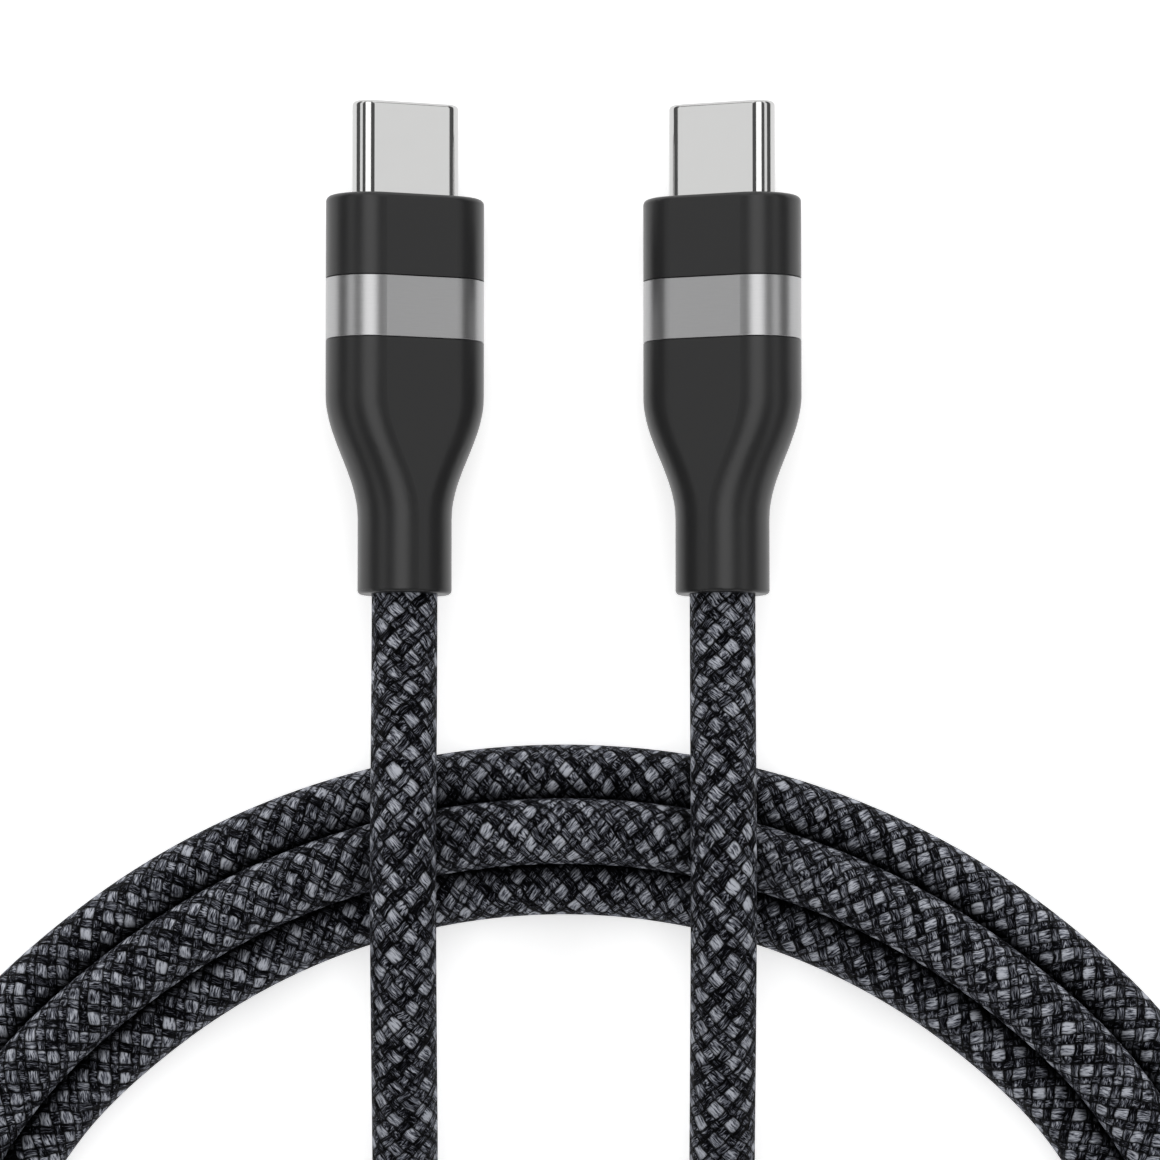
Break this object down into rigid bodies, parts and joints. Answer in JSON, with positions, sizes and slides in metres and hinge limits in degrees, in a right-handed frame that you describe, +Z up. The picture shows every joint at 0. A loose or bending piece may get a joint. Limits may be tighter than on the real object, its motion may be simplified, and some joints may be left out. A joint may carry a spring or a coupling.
{
  "type": "usb-c charging cable",
  "caption": "Braided charging cable with a slim plug at each end, metal-banded housings with tapered necks, and the cord laid in a neat round coil.",
  "frame": {"origin": "on the surface that the cable lies on, midway between the two plugs and level with the middle of their length", "axes": "+Z up from the surface, +Y the way both plugs point, +X from plug A towards plug B"},
  "size_m": [0.1062, 0.1405, 0.0128],
  "materials": {
    "braid": "woven braid of black and grey-blue mixed yarn, softly fuzzy",
    "housing": "satin charcoal moulding",
    "band": "fine satin-brushed light grey metal with bright bevelled edges",
    "plug_shell": "polished nickel-plated steel",
    "insulator_plastic": "black heat-resistant plastic",
    "contact_gold": "gold-plated copper alloy",
    "spring_steel": "bright spring steel",
    "board": "green solder mask",
    "chip": "black moulded package",
    "capacitor": "fired tan ceramic",
    "wire_red": "red insulation",
    "wire_black": "black insulation",
    "wire_green": "green insulation",
    "wire_white": "white insulation",
    "wire_blue": "blue insulation",
    "crimp": "plain brass",
    "mould": "milky stiff plastic",
    "shield": "tinned steel sheet",
    "jacket": "dark rubbery jacket under the braid"
  },
  "bodies": {
    "cable": {"lead_a": "braid", "lead_b": "braid", "coil": "braid", "plug_a_shell": "plug_shell", "plug_a_insulator": "insulator_plastic", "plug_a_mid_plate": "spring_steel", "plug_a_circuit_board": "board", "plug_a_controller_chip": "chip", "plug_a_capacitors": "capacitor", "plug_a_wire_power": "wire_red", "plug_a_wire_ground": "wire_black", "plug_a_wire_data_plus": "wire_green", "plug_a_wire_data_minus": "wire_white", "plug_a_wire_control": "wire_blue", "plug_a_crimp_ring": "crimp", "plug_a_inner_mould": "mould", "plug_a_front_cover": "housing", "plug_a_band": "band", "plug_a_rear_cover": "housing", "plug_a_cable_end": "jacket", "plug_a_contact_tails_upper": "contact_gold", "plug_a_contact_tails_lower": "contact_gold", "plug_a_shield_upper": "shield", "plug_a_shield_lower": "shield", "plug_b_shell": "plug_shell", "plug_b_insulator": "insulator_plastic", "plug_b_mid_plate": "spring_steel", "plug_b_circuit_board": "board", "plug_b_controller_chip": "chip", "plug_b_capacitors": "capacitor", "plug_b_wire_power": "wire_red", "plug_b_wire_ground": "wire_black", "plug_b_wire_data_plus": "wire_green", "plug_b_wire_data_minus": "wire_white", "plug_b_wire_control": "wire_blue", "plug_b_crimp_ring": "crimp", "plug_b_inner_mould": "mould", "plug_b_front_cover": "housing", "plug_b_band": "band", "plug_b_rear_cover": "housing", "plug_b_cable_end": "jacket", "plug_b_contact_tails_upper": "contact_gold", "plug_b_contact_tails_lower": "contact_gold", "plug_b_shield_upper": "shield", "plug_b_shield_lower": "shield"},
    "plug_a_latch_left": {"plug_a_latch_left": "spring_steel"},
    "plug_a_latch_right": {"plug_a_latch_right": "spring_steel"},
    "plug_a_contacts_upper": {"plug_a_contacts_upper": "contact_gold"},
    "plug_a_contacts_lower": {"plug_a_contacts_lower": "contact_gold"},
    "plug_a_ground_springs_upper": {"plug_a_ground_springs_upper": "spring_steel"},
    "plug_a_ground_springs_lower": {"plug_a_ground_springs_lower": "spring_steel"},
    "plug_b_latch_left": {"plug_b_latch_left": "spring_steel"},
    "plug_b_latch_right": {"plug_b_latch_right": "spring_steel"},
    "plug_b_contacts_upper": {"plug_b_contacts_upper": "contact_gold"},
    "plug_b_contacts_lower": {"plug_b_contacts_lower": "contact_gold"},
    "plug_b_ground_springs_upper": {"plug_b_ground_springs_upper": "spring_steel"},
    "plug_b_ground_springs_lower": {"plug_b_ground_springs_lower": "spring_steel"}
  },
  "joints": [
    {"name": "plug_a_latch_left_flex", "type": "hinge", "parent": "cable", "child": "plug_a_latch_left", "pos_m": [-0.00838, 0.01132, 0.00288], "axis": [-0.4067, -0.0637, -0.9113], "range_deg": [0, 2.2], "stiffness_Nm_per_rad": 0.42},
    {"name": "plug_a_latch_right_flex", "type": "hinge", "parent": "cable", "child": "plug_a_latch_right", "pos_m": [-0.01482, 0.01152, 0.00574], "axis": [0.4067, 0.0637, 0.9113], "range_deg": [0, 2.2], "stiffness_Nm_per_rad": 0.42},
    {"name": "plug_a_contacts_upper_flex", "type": "hinge", "parent": "cable", "child": "plug_a_contacts_upper", "pos_m": [-0.01138, 0.01215, 0.00474], "axis": [0.9135, -0.0284, -0.4057], "range_deg": [0, 2], "stiffness_Nm_per_rad": 1.2},
    {"name": "plug_a_contacts_lower_flex", "type": "hinge", "parent": "cable", "child": "plug_a_contacts_lower", "pos_m": [-0.01182, 0.01208, 0.00378], "axis": [-0.9135, 0.0284, 0.4057], "range_deg": [0, 2], "stiffness_Nm_per_rad": 1.2},
    {"name": "plug_a_ground_springs_upper_flex", "type": "hinge", "parent": "cable", "child": "plug_a_ground_springs_upper", "pos_m": [-0.01126, 0.01725, 0.00467], "axis": [-0.9135, 0.0284, 0.4057], "range_deg": [0, 5], "stiffness_Nm_per_rad": 0.035},
    {"name": "plug_a_ground_springs_lower_flex", "type": "hinge", "parent": "cable", "child": "plug_a_ground_springs_lower", "pos_m": [-0.01194, 0.01714, 0.00314], "axis": [0.9135, -0.0284, -0.4057], "range_deg": [0, 5], "stiffness_Nm_per_rad": 0.035},
    {"name": "plug_b_latch_left_flex", "type": "hinge", "parent": "cable", "child": "plug_b_latch_left", "pos_m": [0.01482, 0.01152, 0.00574], "axis": [0.4067, -0.0637, -0.9113], "range_deg": [0, 2.2], "stiffness_Nm_per_rad": 0.42},
    {"name": "plug_b_latch_right_flex", "type": "hinge", "parent": "cable", "child": "plug_b_latch_right", "pos_m": [0.00838, 0.01132, 0.00288], "axis": [-0.4067, 0.0637, 0.9113], "range_deg": [0, 2.2], "stiffness_Nm_per_rad": 0.42},
    {"name": "plug_b_contacts_upper_flex", "type": "hinge", "parent": "cable", "child": "plug_b_contacts_upper", "pos_m": [0.01138, 0.01215, 0.00474], "axis": [0.9135, 0.0284, 0.4057], "range_deg": [0, 2], "stiffness_Nm_per_rad": 1.2},
    {"name": "plug_b_contacts_lower_flex", "type": "hinge", "parent": "cable", "child": "plug_b_contacts_lower", "pos_m": [0.01182, 0.01208, 0.00378], "axis": [-0.9135, -0.0284, -0.4057], "range_deg": [0, 2], "stiffness_Nm_per_rad": 1.2},
    {"name": "plug_b_ground_springs_upper_flex", "type": "hinge", "parent": "cable", "child": "plug_b_ground_springs_upper", "pos_m": [0.01126, 0.01725, 0.00467], "axis": [-0.9135, -0.0284, -0.4057], "range_deg": [0, 5], "stiffness_Nm_per_rad": 0.035},
    {"name": "plug_b_ground_springs_lower_flex", "type": "hinge", "parent": "cable", "child": "plug_b_ground_springs_lower", "pos_m": [0.01194, 0.01714, 0.00314], "axis": [0.9135, 0.0284, 0.4057], "range_deg": [0, 5], "stiffness_Nm_per_rad": 0.035}
  ]
}
